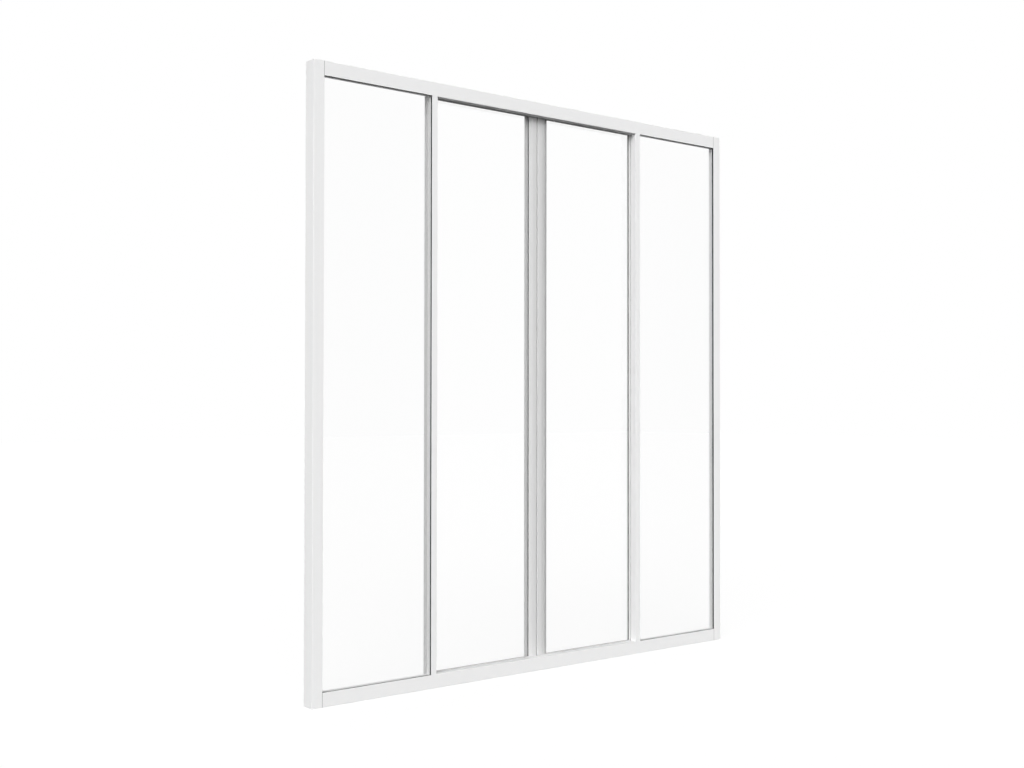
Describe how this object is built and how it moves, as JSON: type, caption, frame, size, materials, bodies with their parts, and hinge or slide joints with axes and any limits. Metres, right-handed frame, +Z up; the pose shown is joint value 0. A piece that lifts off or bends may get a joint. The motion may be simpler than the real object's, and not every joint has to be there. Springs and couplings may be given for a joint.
{
  "type": "interior glass partition with sliding double leaves",
  "caption": "Slim white framed glass partition: fixed outer lites and a pair of glazed leaves that slide apart behind them to open the middle.",
  "frame": {"origin": "underside of the sill at mid width and mid depth", "axes": "+X to the right seen from the front, +Y from the front face to the back, +Z up"},
  "size_m": [2.036, 0.0544, 2.2],
  "materials": {
    "white_profile": "satin white powder coat",
    "leaf_profile": "satin powder coat, slightly greyer white",
    "glass": "clear float glass",
    "gasket": "matte black gasket",
    "seal": "grey brush seal",
    "track_metal": "satin anodised",
    "nylon": "moulded nylon"
  },
  "bodies": {
    "frame": {"left_jamb": "white_profile", "right_jamb": "white_profile", "sill": "white_profile", "head": "white_profile", "left_mullion": "white_profile", "right_mullion": "white_profile", "bottom_track": "track_metal", "top_guide": "track_metal", "sill_cover": "white_profile", "head_cover": "white_profile", "left_fixed_gasket": "gasket", "left_fixed_glass": "glass", "left_sill_bead": "white_profile", "left_head_bead": "white_profile", "left_mullion_bead": "white_profile", "left_jamb_bead": "white_profile", "right_fixed_gasket": "gasket", "right_fixed_glass": "glass", "right_sill_bead": "white_profile", "right_head_bead": "white_profile", "right_mullion_bead": "white_profile", "right_jamb_bead": "white_profile"},
    "left_leaf": {"left_leaf_meeting_stile": "leaf_profile", "left_leaf_outer_stile": "leaf_profile", "left_leaf_bottom_rail": "leaf_profile", "left_leaf_top_rail": "leaf_profile", "left_leaf_bead": "leaf_profile", "left_leaf_meeting_bead": "leaf_profile", "left_leaf_gasket": "gasket", "left_leaf_glass": "glass", "left_leaf_rollers": "nylon", "left_leaf_sliders": "nylon", "left_leaf_meeting_seal": "seal"},
    "right_leaf": {"right_leaf_meeting_stile": "leaf_profile", "right_leaf_outer_stile": "leaf_profile", "right_leaf_bottom_rail": "leaf_profile", "right_leaf_top_rail": "leaf_profile", "right_leaf_bead": "leaf_profile", "right_leaf_meeting_bead": "leaf_profile", "right_leaf_gasket": "gasket", "right_leaf_glass": "glass", "right_leaf_rollers": "nylon", "right_leaf_sliders": "nylon", "right_leaf_meeting_seal": "seal"}
  },
  "joints": [
    {"name": "left_leaf_slide", "type": "slide", "parent": "frame", "child": "left_leaf", "axis": [-1, 0, 0], "range_m": [0, 0.483]},
    {"name": "right_leaf_slide", "type": "slide", "parent": "frame", "child": "right_leaf", "axis": [1, 0, 0], "range_m": [0, 0.483]}
  ]
}
